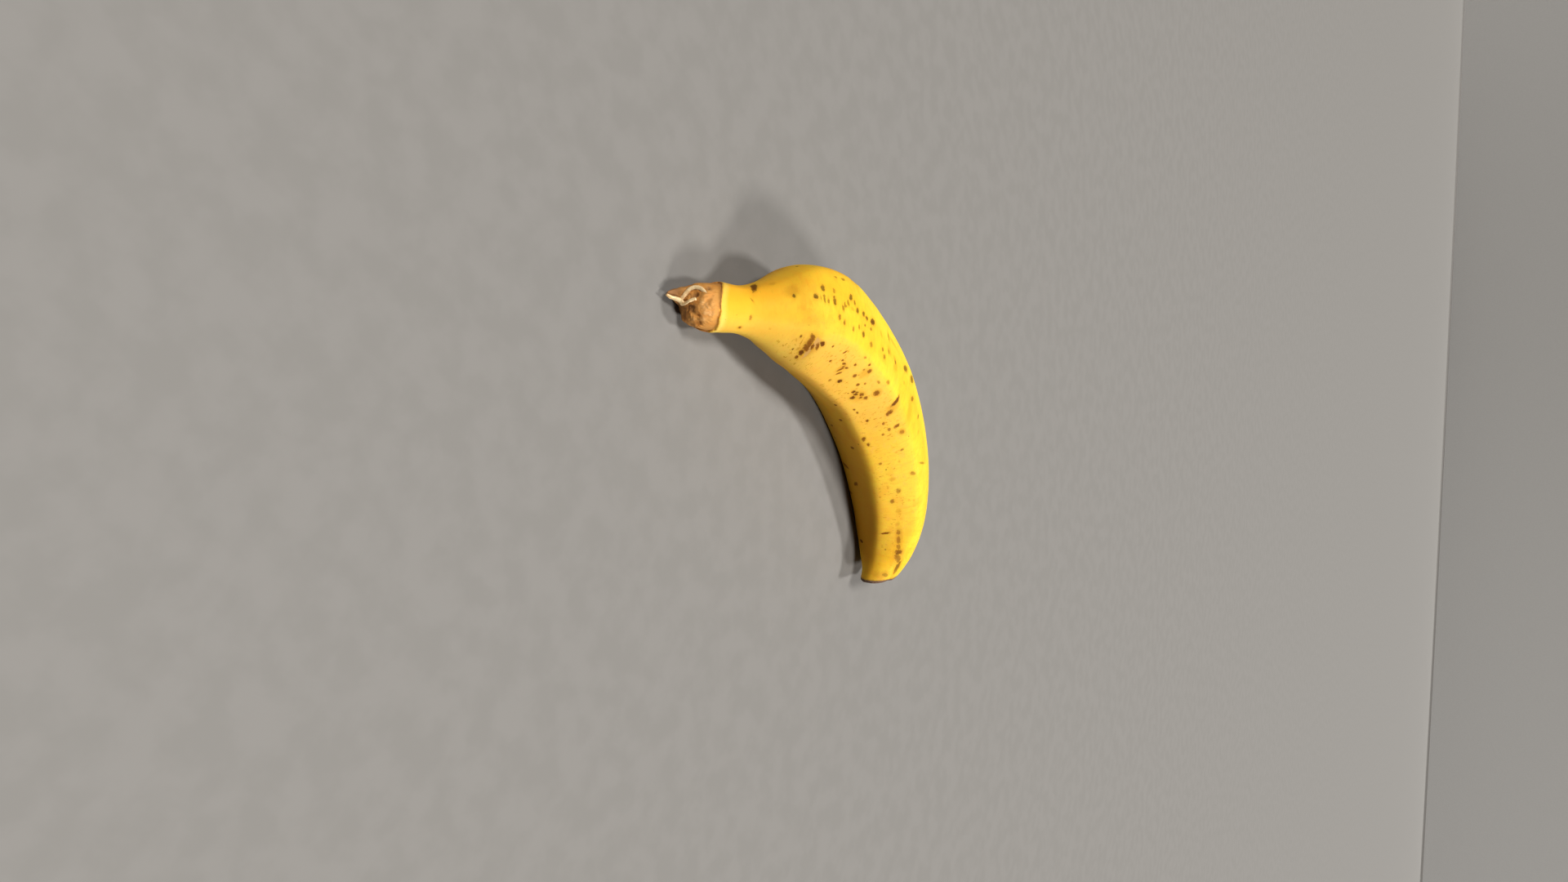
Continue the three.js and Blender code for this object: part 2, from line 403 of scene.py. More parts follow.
DARK, BROWN, FAINT, STAIN, SCUFF = MarkKind
SPOT_DEPTHS = {DARK: 1.0, BROWN: 0.74, FAINT: 0.55}  # How strongly each kind of spot is coloured.
FAR = 9.0  # Stored for places far from any spot; a spot's edge is at 1.
MARKS: tuple[Mark, ...] = (
    # The neck and the shoulder.
    DARK(18.8, 148, 1.1, 2.8, -36), STAIN(15.7, 110, 0.6, 1.3, 40), FAINT(15.7, 110, 0.3, 0.8, 40),
    FAINT(15, 67, 0.7, 0.9), STAIN(12.4, 37, 1.5, 1, -14), BROWN(12.6, 37, 0.8, 0.5, -14),
    STAIN(24.5, 143, 1.2, 0.8), BROWN(28.9, 112.5, 0.5, 0.9), STAIN(28.5, 122, 2.4, 2.4),
    STAIN(23, 52, 0.4, 0.6),
    # Rows of fine strokes over the top of the shoulder.
    BROWN(37.6, 118, 0.6, 1.2), BROWN(35.3, 108.5, 0.7, 0.9), FAINT(36.8, 106.5, 0.3, 1.1),
    FAINT(37.6, 105.5, 0.4, 1.6), FAINT(38.6, 102, 0.4, 1), BROWN(40.4, 103, 0.5, 1.7),
    FAINT(40.6, 115, 0.4, 0.8), FAINT(42.9, 97, 0.5, 1.3), FAINT(43.7, 101.5, 0.5, 1.1),
    BROWN(46.1, 114, 0.7, 1.5, -16), FAINT(44.7, 105, 0.5, 1.3), FAINT(47.5, 109.5, 0.5, 1.1),
    STAIN(46.3, 100.5, 0.9, 0.7), BROWN(48.6, 102.5, 0.7, 1.2, -18), BROWN(52.1, 104.5, 0.8, 1.2, -35),
    BROWN(54.2, 103, 1.1, 0.9, 30), DARK(58.9, 107, 2.2, 1.2, 32), FAINT(41.6, 85.5, 0.5, 1),
    FAINT(43.3, 81.5, 0.4, 0.9), FAINT(46.9, 79, 0.5, 0.9), FAINT(49.6, 85, 0.5, 0.9),
    FAINT(53.1, 92.5, 0.7, 0.5, 31), FAINT(57.6, 95.5, 1, 0.7, 27), BROWN(52.6, 81.5, 1, 1.1, -31),
    STAIN(48.6, 139, 1.2, 0.5, 32), FAINT(44.5, 133, 0.8, 0.5, 25), FAINT(42.2, 132.5, 0.5, 0.4),
    # Along the top and the back.
    FAINT(59, 79.5, 1.3, 1, 20), FAINT(69.2, 89.5, 1, 0.9), FAINT(71.2, 84, 1.3, 1, 19),
    STAIN(75.8, 101, 2.2, 1, -43), FAINT(74.6, 98, 1.1, 0.8, -43), STAIN(80.7, 99.5, 1.7, 1.1, -29),
    FAINT(81.2, 98, 0.9, 0.8, -29), STAIN(81.4, 90, 1.1, 0.7, 32), BROWN(90.9, 118, 1.3, 2.9, -43),
    BROWN(98, 126, 1.4, 3.2, -30), FAINT(78.7, 66, 1.3, 0.9, 10), FAINT(74.4, 57.5, 1.1, 0.5),
    STAIN(90.9, 93, 1.2, 0.8, 40), STAIN(74.7, 119.5, 1.2, 2.2, 18), FAINT(74.7, 119.5, 0.6, 1.6, 18),
    STAIN(78.7, 121.5, 5, 0.9), STAIN(81.5, 91, 2.4, 1.8, 44), FAINT(109, 100.5, 0.7, 1.4, -5),
    STAIN(67.2, 106, 1.5, 1, -38), FAINT(100.4, 99, 1, 2, -34), STAIN(101, 79, 2.6, 5.6, 24),
    STAIN(113, 86, 0.8, 1.5), FAINT(125.8, 82, 0.5, 3.4, -36), FAINT(126.3, 59, 0.9, 1.3, -43),
    # The bruise across the face below the second ridge.
    SCUFF(36.7, 54.5, 1.2, 2.3, 12), SCUFF(36, 40, 0.8, 3.6, 4), STAIN(35.5, 46, 2.2, 6.6),
    BROWN(34.7, 60.5, 0.7, 1.3, 32), BROWN(34.8, 53, 0.9, 2.2, 6), BROWN(34.9, 46, 1.1, 2.2, 4),
    BROWN(36.2, 48.5, 0.5, 1.4, 10), DARK(34.6, 35.5, 0.85, 1.3, 6), BROWN(34.5, 26, 0.5, 0.9, 7),
    DARK(38.3, 55.5, 0.7, 1.05, 36), BROWN(37.4, 51, 0.55, 1.5, 20), BROWN(31.7, 57, 0.3, 0.6),
    BROWN(32, 34, 0.25, 0.5), BROWN(42.1, 55, 0.35, 0.5),
    # Spots and streaks on that face.
    BROWN(47.7, 55, 0.35, 0.9, -20), BROWN(50.1, 46.5, 0.5, 0.5), BROWN(46.3, 38.5, 0.45, 0.5),
    FAINT(57.6, 63.5, 0.8, 0.5, 15), BROWN(56.8, 51.5, 0.7, 0.5), BROWN(62.7, 62, 0.8, 0.6, 17),
    BROWN(52.2, 44.5, 0.9, 0.6, 10), BROWN(55.2, 43, 0.9, 0.5, 11), BROWN(53.6, 41, 0.5, 0.9),
    BROWN(54, 37.5, 0.5, 1.5, -14), BROWN(55.4, 33, 0.5, 1.3, -20), STAIN(53.6, 38.5, 1.8, 2.4),
    DARK(60.3, 27.5, 1.15, 0.95, 4), FAINT(56.6, 21, 0.8, 0.6, -30), BROWN(62.4, 43.5, 1.2, 0.8),
    STAIN(65.4, 48, 1.2, 1, -41), FAINT(63.6, 47, 0.5, 0.4), BROWN(65.8, 58, 1.1, 0.9, -14),
    STAIN(64.9, 53, 2.6, 2.4), FAINT(62.7, 54.5, 0.6, 0.45), BROWN(68.3, 39, 0.8, 0.65),
    FAINT(70.2, 45.5, 0.7, 0.5), BROWN(79.6, 49, 1.7, 1.3, -3), STAIN(79.6, 49, 2.3, 2),
    DARK(70.9, 30, 1.1, 0.75), BROWN(72.6, 32, 0.9, 0.6), DARK(73.3, 29.5, 1, 0.8, 40),
    BROWN(75.4, 34.5, 1.3, 0.8), BROWN(76.9, 31.5, 0.8, 0.6, 60), DARK(74.2, 24.5, 1.15, 0.9, 18),
    BROWN(78.6, 36, 1.1, 0.8), STAIN(74.6, 30, 4.2, 3), BROWN(70, 24.5, 0.4, 0.3),
    BROWN(82.5, 17.5, 0.8, 0.4), BROWN(85.5, 18.5, 0.9, 0.4), BROWN(92.7, 24, 0.8, 0.6),
    DARK(90.4, 63, 0.95, 2.6, 20), BROWN(93.6, 51.2, 1, 1.7, 22), STAIN(91.9, 58, 2.4, 3.6, 20),
    FAINT(97.4, 40, 0.8, 0.6), BROWN(101.5, 53, 0.8, 1.2, 20), FAINT(101.5, 43.5, 0.9, 0.7, 23),
    FAINT(105.4, 56.5, 1.1, 0.9, 18), STAIN(105, 56, 1.7, 1.5), FAINT(102.7, 34.5, 0.6, 0.6),
    FAINT(113.5, 50.5, 0.6, 0.8, 19), STAIN(113.7, 43, 0.6, 0.8), FAINT(117, 20.5, 0.7, 0.6),
    STAIN(118.5, 44, 0.8, 0.6), BROWN(101.8, 12, 1.2, 0.75, -15), BROWN(105.3, 14.5, 1, 0.7, -7),
    STAIN(126.4, 31, 1, 1.3), FAINT(132.7, 37.5, 1.3, 1.05), FAINT(137.4, 27.5, 1.2, 0.95, -7),
    STAIN(142.8, 35.5, 1.4, 1.2), STAIN(149.9, 35.5, 1.5, 1),
    # The hollow side.
    BROWN(76, 2, 1.4, 0.6, -31), BROWN(91.6, -9.5, 0.6, 1.5, 40), BROWN(108.9, -11.5, 0.8, 1.3, 29),
    FAINT(100.9, -42, 0.6, 1.4, 38), BROWN(132, -30.5, 1, 1.9, 42),
    # The tip: a cross stroke and a rubbed band along the second ridge.
    BROWN(156, 19, 0.75, 1.9, 28), STAIN(157.5, 42.5, 7, 1.8, 13), FAINT(154.6, 40, 1.7, 0.85, 12),
    FAINT(159.4, 44.5, 2.7, 0.8, 14), FAINT(163.4, 50, 1.7, 0.9, 20), BROWN(166, 56, 1.6, 1.4, -4),
    STAIN(167, 58, 3.6, 2.6, 30), FAINT(168.9, 64, 1.3, 2.6, -39), BROWN(171.8, 83, 3.3, 1.15, 25),
    STAIN(171.4, 80, 3.8, 2.2, 28), STAIN(176.6, 60, 1.2, 2.6, 15), FAINT(177, 63, 0.7, 1.3, 15),
    STAIN(178.3, 42, 1.5, 4.2),
)


@dataclass(frozen=True)
class Swell:
    """A lobe of fibres on the torn face, or a pit in it."""

    place: Place  # Its middle.
    radius: float  # How wide it is.
    height: float  # How far it stands out; less than 0 for a pit.

    def relief(self, points: Numbers) -> Numbers:
        """How far it lifts each point."""
        return self.height * np.exp(-np.sum((points - np.array(self.place)) ** 2, axis=1) / self.radius**2)


SWELLS: tuple[Swell, ...] = (
    # Lobes: the large one below, one near the top and a fold between them.
    Swell((-71.6, -25.0, 11.9), 2.6, 0.7), Swell((-75.6, -20.6, 11.4), 1.7, 0.5),
    Swell((-74.4, -23.8, 10.6), 1.3, 0.4), Swell((-71.9, -26.8, 7.4), 1.2, 0.5),
    # Creases beside the lobes and the hollows inside and below the curled skin.
    Swell((-72.8, -26.4, 9.4), 0.8, -0.5), Swell((-70.9, -27.0, 9.0), 0.8, -0.5),
    Swell((-76.1, -18.8, 11.4), 0.9, -0.7), Swell((-76.8, -22.4, 7.3), 1.1, -0.7),
    Swell((-76.9, -21.9, 8.7), 1.2, -0.8), Swell((-74.9, -25.3, 7.6), 1.5, -0.5),
    Swell((-74.4, -25.6, 5.6), 1.6, -0.5),
)


@dataclass(frozen=True)
class HiddenMarks:
    """Marks of the same kinds scattered over the underside and the far side."""

    count: int = 74  # How many there are.
    seed: int = 5  # The seed of their draws.
    along: tuple[float, float] = (28.0, 168.0)  # How far from the torn end they lie.
    angle: tuple[float, float] = (138.0, 318.0)  # The angles between which they lie.
    shares: tuple[float, ...] = (0.1, 0.3, 0.26, 0.3, 0.04)  # How often each kind comes.
    smallest: float = 0.35  # Half the length of the smallest.
    spread: float = 0.75  # How much longer the largest spots are.
    patch: float = 2.0  # How many times larger stains and scuffs are.
    widest: float = 2.4  # The greatest width for a length of 1.
    lean: float = 25.0  # The furthest that one leans.

    def scatter(self) -> tuple[Mark, ...]:
        """Draws the marks.

        Returns:
            The marks, mostly small and brown.
        """
        rng = random.Random(self.seed)
        marks = []
        for _ in range(self.count):
            kind = rng.choices(list(MarkKind), self.shares)[0]
            size = self.smallest + self.spread * rng.random() ** 2
            size *= self.patch if kind in (STAIN, SCUFF) else 1.0
            place = rng.uniform(*self.along), rng.uniform(*self.angle)
            width = size * rng.uniform(1.0, self.widest)
            marks.append(kind(*place, size, width, rng.uniform(-self.lean, self.lean)))
        return tuple(marks)


# --- Finishes ---


@dataclass(frozen=True)
class PeelFinish:
    """Ripe banana peel: waxy yellow with streaks, freckles and bruises, with painted shade on its hollow side
    and painted light on its back.
    """

    yellow: Colour = (0.82, 0.47, 0.022)
    lemon: Colour = (0.80, 0.52, 0.030)
    # Painted light, laid over the back.
    painted_light_lemon: Colour = (0.78, 0.56, 0.032)
    warm: Colour = (0.80, 0.37, 0.018)
    peach: Colour = (0.78, 0.38, 0.065)
    # Painted shade, laid over the hollow side.
    painted_shade_ochre: Colour = (0.50, 0.21, 0.008)
    olive: Colour = (0.46, 0.31, 0.016)
    cream: Colour = (0.84, 0.58, 0.12)
    green: Colour = (0.42, 0.36, 0.030)
    stain: Colour = (0.57, 0.27, 0.012)
    brown: Colour = (0.21, 0.105, 0.005)
    russet: Colour = (0.25, 0.082, 0.004)
    dark: Colour = (0.115, 0.034, 0.002)
    scuffed: Colour = (0.60, 0.34, 0.13)
    dry: Colour = (0.20, 0.085, 0.025)

    def make(self) -> bpy.types.Material:
        """Makes the material.

        Returns:
            The peel's material.
        """
        sheet = Sheet("ripe_peel")
        place = sheet.attribute("straight")
        along, toward_hollow, toward_top = sheet.parts(place)
        front = toward_hollow.step(6, 11) * toward_top.step(-1, 4)
        # Where the painted shade lies: the hollow side, up to about the first ridge.
        hollow = toward_hollow.step(1, 8) * toward_top.step(4.5, -1.5)
        stem_side = toward_hollow.step(1, 6) * along.step(44, 28)
        lip = sheet.attribute("from_lip", "Fac")
        tip = sheet.attribute("from_tip", "Fac")

        # Patterns, from the broadest to the finest.
        patches = sheet.cloud(place, (38, 14, 14), 3)
        blots = sheet.cloud(place, (9, 5, 5), 3)
        smears = sheet.cloud(place, (5, 15, 15), 3, 0.6)
        ripples = sheet.cloud(place, (1.2, 4.5, 4.5), 3, 0.6)
        mottle = sheet.cloud(place, (2.6, 2.0, 2.0), 3, 0.6)
        streaks = sheet.cloud(place, (0.8, 3.2, 3.2), 3, 0.65)
        flecks = sheet.cloud(place, (0.7, 1.5, 1.5), 2, 0.6).step(0.57, 0.68) * blots.step(0.36, 0.6)
        ragged = sheet.cloud(place, (0.9, 0.6, 0.6), 3, 0.6)
        pores = sheet.cloud(place, (0.55, 0.4, 0.4), 2)

        ground = sheet.coats(
            self.yellow,
            (self.lemon, patches.step(0.42, 0.62)),
            (self.warm, blots.step(0.48, 0.7) * 0.6),
            (self.warm, smears.step(0.5, 0.66) * 0.4),
            (self.warm, ripples.step(0.46, 0.68) * 0.5),
            (self.warm, sheet.attribute("ridge", "Fac").step(0.75, 1.0) * 0.2),
            (self.peach, mottle.step(0.52, 0.68) * (0.16 + 0.24 * front)),
            # Warmer at the neck, mostly on its top, then painted light that makes the back brighter and
            # painted shade that makes the hollow side deeper.
            (self.warm, along.step(36, 16) * (0.12 + 0.75 * toward_top.step(1, 5))),
            (self.warm, toward_hollow.step(-1, -8) * along.step(52, 34) * 0.4),
            # Painted light on the back, past the shoulder.
            (self.painted_light_lemon, toward_hollow.step(-2, -12) * along.step(45, 75) * 0.7),
            # Painted shade on the hollow side, deeper towards the tip.
            (self.painted_shade_ochre, hollow * (0.62 + 0.25 * along.step(110, 165))),
            (self.peach, front * along.step(115, 80) * along.step(24, 38) * 0.55),
            (self.olive, streaks.step(0.6, 0.74) * toward_hollow.step(6, -4) * 0.4),
            (self.cream, lip.step(4.0, 1.2) * 0.45 + front * 0.14 + stem_side * 0.3),
            (self.green, tip.step(9, 1) * 0.25),
        )

        # Spots and scuffs, with ragged edges.
        one, other, depth = sheet.parts(sheet.attribute("spots"))
        across = one * one + other * other
        spot = (across + (ragged - 0.5) * 2.4).step(1.3, 0.2)
        spot_colour = sheet.mix(self.brown, self.russet, toward_hollow.step(2, 8))
        hatch = sheet.cloud(place, (0.6, 1.4, 1.4), 3, 0.6)
        scuffed = (sheet.attribute("scuff", "Fac") + (hatch - 0.5) * 1.6).step(0.0, 0.5)
        colour = sheet.coats(
            ground,
            (self.stain, (sheet.attribute("stain", "Fac") + (ragged - 0.5) * 0.7).step(-0.4, 0.7) * 0.6),
            (self.brown, self.freckles(sheet, place)),
            (self.stain, flecks * (0.25 + 0.75 * front)),
            (self.scuffed, scuffed * 0.7),
            (self.stain, across.step(4.0, 0.4) * depth * 0.45),
            (spot_colour, spot * (depth + (blots - 0.5) * 0.5).step(0.0, 0.85)),
            (self.dark, spot * depth.step(0.62, 1.0) * 0.8),
            (self.stain, lip.step(0.7, 0.1) * 0.35),
            (self.dry, (tip + (ragged - 0.5) * 1.2).step(1.6, 0.2) * 0.75),
        )

        marked = (spot * depth).or_more(scuffed)
        roughness = 0.58 + 0.12 * (patches - 0.5) + 0.16 * marked
        height = 0.3 * ripples + 0.3 * pores + 0.25 * blots - 0.35 * marked
        normal = sheet.relief(height, depth=0.22, strength=0.55)
        return sheet.finish(
            colour, roughness, normal, Specular_IOR_Level=0.11, Subsurface_Weight=0.3, Subsurface_Scale=0.0025
        )

    def freckles(self, sheet: Sheet, place: Term) -> Term:
        """Small scattered freckles.

        Args:
            sheet: The peel's sheet.
            place: Where the surface is on the straightened fruit.

        Returns:
            How much of a freckle shows at each place.
        """
        cells = {"Vector": sheet.stretched(place, (4.2, 3.0, 3.0)), "Scale": 1.0}
        nearness = sheet.node("ShaderNodeTexVoronoi", {}, cells, output="Distance")
        which, size, _ = sheet.parts(sheet.node("ShaderNodeTexVoronoi", {}, cells, output="Color"))
        return (nearness - 0.1 * size).step(0.035, 0.0) * which.step(0.66, 0.7) * 0.6


@dataclass(frozen=True)
class TornFinish:
    """The torn face of the stem: dry tan fibres, with painted shade low down, in its hollows and past the
    torn end, and a painted highlight on its crests.
    """

    tan: Colour = (0.63, 0.28, 0.055)
    orange: Colour = (0.61, 0.215, 0.024)
    # Brown used for the torn face's painted shade.
    brown: Colour = (0.20, 0.085, 0.022)
    lip: Colour = (0.50, 0.21, 0.022)
    cream: Colour = (0.84, 0.56, 0.25)

    def make(self) -> bpy.types.Material:
        """Makes the material.

        Returns:
            The torn face's material.
        """
        sheet = Sheet("torn_stem")
        place = sheet.attribute("straight")
        crest = sheet.attribute("crest", "Fac")
        along, _, toward_top = sheet.parts(place)
        blots = sheet.cloud(place, (3.2, 2.4, 2.4), 3, 0.6)
        fibres = sheet.cloud(place, (3.5, 0.4, 0.55), 3, 0.65)
        grain = sheet.cloud(place, (0.5, 0.22, 0.22), 3, 0.7)
        colour = sheet.coats(
            self.tan,
            (self.orange, blots.step(0.42, 0.66) * 0.7),
            (self.orange, along.step(0.5, 4.5) * 0.5),
            # Painted shade: browner towards the bottom of the face.
            (self.brown, toward_top.step(1.0, -4.5) * 0.55),
            # Painted shade in the fibre grooves and hollows, and a painted highlight on the crests.
            (self.brown, fibres.step(0.46, 0.28) * 0.25),
            (self.brown, crest.step(0.45, 0.1) * 0.7),
            (self.cream, crest.step(0.62, 1.1) * 0.4),
            (self.cream, grain.step(0.58, 0.75) * 0.15),
            # Painted shadow: darker brown past the torn end, out towards the strip.
            (self.brown, along.step(-5.5, -7.5) * 0.75),
            (self.lip, sheet.attribute("rim", "Fac") * 0.5),
        )
        height = 0.5 * fibres + 0.3 * grain + 0.3 * blots
        normal = sheet.relief(height, depth=0.45, strength=0.6)
        return sheet.finish(colour, 0.78 + 0.15 * (grain - 0.5), normal)


@dataclass(frozen=True)
class ScarFinish:
    """The blossom end: a dry, dark scar."""

    brown: Colour = (0.115, 0.055, 0.028)
    grey: Colour = (0.26, 0.17, 0.10)
    deep: Colour = (0.045, 0.024, 0.014)

    def make(self) -> bpy.types.Material:
        """Makes the material.

        Returns:
            The scar's material.
        """
        sheet = Sheet("blossom_scar")
        place = sheet.attribute("straight")
        grain = sheet.cloud(place, (0.6, 0.6, 0.6), 4, 0.65)
        blots = sheet.cloud(place, (2.5, 1.8, 1.8), 2)
        grey = grain.step(0.5, 0.72) * 0.7
        colour = sheet.coats(self.brown, (self.grey, grey), (self.deep, blots.step(0.52, 0.34) * 0.7))
        normal = sheet.relief(grain + 0.5 * blots, depth=0.5, strength=0.8)
        return sheet.finish(colour, 0.8 + 0.1 * (grain - 0.5), normal)


@dataclass(frozen=True)
class FibreFinish:
    """Loose dry strands and skins that stand from a torn or withered end."""

    name: str
    pale: Colour
    deep: Colour

    def make(self) -> bpy.types.Material:
        """Makes the material.

        Returns:
            The strands' material.
        """
        sheet = Sheet(self.name)
        place = sheet.node("ShaderNodeTexCoord", output="Object")
        blots = sheet.cloud(place, (2.2 * MM,) * 3, 3)
        grain = sheet.cloud(place, (0.35 * MM,) * 3, 2)
        colour = sheet.mix(self.pale, self.deep, (0.6 * blots + 0.4 * grain).step(0.4, 0.66))
        normal = sheet.relief(grain, depth=0.2, strength=0.5)
        return sheet.finish(colour, 0.75 + 0.1 * (grain - 0.5), normal)


@dataclass(frozen=True)
class PaleFinish:
    """A plain pale surface with a very faint grain."""

    name: str
    pale: Colour
    paler: Colour

    def make(self) -> bpy.types.Material:
        """Makes the material.

        Returns:
            The surface's material.
        """
        sheet = Sheet(self.name)
        place = sheet.node("ShaderNodeTexCoord", output="Object")
        grain = sheet.cloud(place, (10 * MM,) * 3, 3)
        colour = sheet.mix(self.pale, self.paler, grain.step(0.35, 0.65))
        return sheet.finish(colour, 0.7, sheet.relief(grain, depth=0.1, strength=0.1))


# --- Hand work ---


def take(piece: Piece) -> None:
    """Selects one piece alone and makes it the active one.

    Args:
        piece: The piece.
    """
    if bpy.context.object and bpy.context.object.mode != "OBJECT":
        bpy.ops.object.mode_set(mode="OBJECT")
    bpy.ops.object.select_all(action="DESELECT")
    piece.select_set(True)
    bpy.context.view_layer.objects.active = piece


def read(items: bpy.types.bpy_prop_collection, name: str, width: int = 1, kind: type = float) -> Numbers:
    """Reads a number or a vector from each point, corner, edge or face.

    Args:
        items: The points, corners, edges or faces.
        name: What is read from them.
        width: How many numbers each has.
        kind: The numbers' type.

    Returns:
        The numbers, as rows where each has more than one.
    """
    flat = np.zeros(len(items) * width, dtype=kind)
    items.foreach_get(name, flat)
    return flat.reshape(-1, width) if width > 1 else flat


def points_of(piece: Piece) -> Numbers:
    """The places of a piece's points."""
    return read(piece.data.vertices, "co", 3) / MM


def put_points(piece: Piece, points: Numbers) -> None:
    """Gives a piece's points new places."""
    piece.data.vertices.foreach_set("co", (points * MM).ravel())
    piece.data.update()


# --- The fruit ---


class Zone(IntEnum):
    """The parts of the skin, in the order of their finishes."""

    PEEL = 0
    TORN = 1
    SCAR = 2


@dataclass
class Fruit:
    """The whole fruit as one closed skin: peel, torn stem face and blossom scar."""

    piece: Piece = field(init=False)  # The fruit itself, from build on.
    line: MiddleLine = MiddleLine()  # Its middle line.
    marks: tuple[Mark, ...] = MARKS + HiddenMarks().scatter()  # The marks in its peel.
    swells: tuple[Swell, ...] = SWELLS  # The lobes and pits of its torn face.
    ridges: tuple[float, ...] = (7, 65, 142, 222, 299)  # The angles of its five ridges.
    ridge_width: float = 12.0  # How far from its ridge the peel is tinted.
    torn_outer: float = 7.0  # How far the skin is torn back on the outer side.
    torn_hollow: float = 3.5  # The same on the hollow side.
    core_reach: float = 6.95  # Points nearer to the middle line than this belong to the torn core.
    rim_reach: float = 7.0  # How far from the middle line the rim of the core is.
    rim_width: float = 0.35  # How wide that rim is.
    lip_reach: float = 7.4  # Points of the lip's edge are nearer than this.
    lip_depth: float = 1.4  # How wide the lip is along the fruit.
    lip_pull: Place = (0.77, 0.63, 0.1)  # The direction in which the lip is torn.
    lip_swell: float = 0.12  # How thick the lip is.
    crispness: float = 0.55  # How crisp the lip's edge stays, from 0 to 1.
    stem_zone: float = 12.0  # The torn core ends this far from the torn end.
    tip_width: float = 5.2  # Half the width of the blossom end.
    tip_reach: float = 0.4  # How far its middle stands past the end of the line.
    tip_slant: float = 4.2  # How much further its hollow side stands.
    body: tuple[float, float] = (40.0, 158.0)  # Between these, the body's long edges are split.
    long_edge: float = 1.5  # How long such an edge is at least.
    extra_rings: int = 1  # Rings of edges added along the body, for finer marks.
    fineness: int = 2  # How often each face is split in four.
    deepest: float = 0.12  # How deep the deepest mark is.
    waves: Bumps = Bumps(0.16, (17, 9, 9), 3.7)  # The body's broad unevenness.
    ripples: Bumps = Bumps(0.05, (5, 3, 3), 9.1)  # Its finer unevenness.
    fibres: Bumps = Bumps(1.1, (4.0, 0.8, 0.8), 1.3)  # The fibres of the torn face.
    lumps: Bumps = Bumps(1.0, (2.2, 2.0, 2.0), 5.2)  # Its lumps.
    tears: Bumps = Bumps(0.7, (1, 2.3, 2.3), 2.4)  # How the lip is torn, round the fruit.
    frays: Bumps = Bumps(0.3, (1, 0.8, 0.8), 6.0)  # How it is frayed.

    def torn_back(self, angle: Numbers) -> Numbers:
        """How far the skin is torn back at an angle."""
        side = np.cos(np.radians(angle))
        return side * side * np.where(side < 0, self.torn_outer, self.torn_hollow)

    def past_tip(self, spot: Straightened) -> Numbers:
        """How far points stand past the rim of the slanted blossom end."""
        lean = np.cos(np.radians(spot.angle)) * spot.reach / self.tip_width
        return spot.along - self.line.length() - self.tip_reach - self.tip_slant * lean

    def near_stem(self, spot: Straightened) -> Numbers:
        """How much points belong to the stem's end, from 0 to 1."""
        return rise(self.stem_zone - spot.along, 0, 2)

    def straight(self) -> Straightened:
        """Where the fruit's points lie along and round its middle line."""
        return self.line.straighten(points_of(self.piece))

    def build(self, node: Piece) -> Piece:
        """Makes the fruit from a copy of its solid.

        Args:
            node: The CAD node.

        Returns:
            The dressed fruit.
        """
        self.piece = bpy.data.objects.new("banana_fruit", node.data.copy())
        bpy.context.scene.collection.objects.link(self.piece)
        self.piece.data.materials.clear()
        self.join_faces()
        self.add_rings()
        self.sharpen_lip()
        self.assign_zones()
        self.refine()
        self.shape()
        self.describe()
        for finish in (PeelFinish(), TornFinish(), ScarFinish()):
            self.piece.data.materials.append(finish.make())
        return self.piece

    def join_faces(self, same: float = 0.01 * MM, bend: float = math.radians(80)) -> None:
        """Merges the loose triangles and pairs them into four-sided faces.

        Args:
            same: Points nearer to each other than this are one.
            bend: The greatest angle in a pair of triangles.
        """
        mesh = self.piece.data
        take(self.piece)
        bpy.ops.object.mode_set(mode="EDIT")
        bpy.ops.mesh.select_all(action="SELECT")
        bpy.ops.mesh.remove_doubles(threshold=same)
        bpy.ops.mesh.tris_convert_to_quads(face_threshold=bend, shape_threshold=bend)
        bpy.ops.object.mode_set(mode="OBJECT")
        for layer in [*mesh.uv_layers]:
            mesh.uv_layers.remove(layer)
        if mesh.has_custom_normals:
            bpy.ops.mesh.customdata_custom_splitnormals_clear()

    def edges_where(self, chosen: Numbers) -> None:
        """Selects edges by a row of yes and no, and opens the fruit in edit mode.

        Args:
            chosen: One truth value for each edge.
        """
        take(self.piece)
        bpy.ops.object.mode_set(mode="EDIT")
        bpy.ops.mesh.select_mode(type="EDGE")
        bpy.ops.mesh.select_all(action="DESELECT")
        bpy.ops.object.mode_set(mode="OBJECT")
        self.piece.data.edges.foreach_set("select", chosen)
        bpy.ops.object.mode_set(mode="EDIT")

    def edge_ends(self) -> Numbers:
        """The two point numbers of every edge."""
        return read(self.piece.data.edges, "vertices", 2, np.int32)

    def add_rings(self) -> None:
        """Splits the long edges of the body, so that its faces are about square."""
        low, high = self.body
        start, stop = self.straight().along[self.edge_ends()].T
        inside = (np.minimum(start, stop) > low) & (np.maximum(start, stop) < high)
        self.edges_where(inside & (np.abs(stop - start) > self.long_edge))
        bpy.ops.mesh.subdivide_edgering(number_cuts=self.extra_rings, interpolation="PATH", smoothness=1.0)
        bpy.ops.object.mode_set(mode="OBJECT")

    def sharpen_lip(self) -> None:
        """Keeps the torn edge of the skin crisp."""
        spot = self.straight()
        ends = self.edge_ends()
        near_lip = np.abs(spot.along - self.torn_back(spot.angle)) < 0.6
        both_ends = (near_lip & (spot.reach > self.core_reach))[ends].all(axis=1)
        # Short edges that run round the lip.
        level = (np.abs(np.diff(spot.along[ends])) < 1.2) & (np.abs(np.diff(spot.reach[ends])) < 0.3)
        self.edges_where(both_ends & level[:, 0])
        bpy.ops.transform.edge_crease(value=self.crispness)
        bpy.ops.object.mode_set(mode="OBJECT")

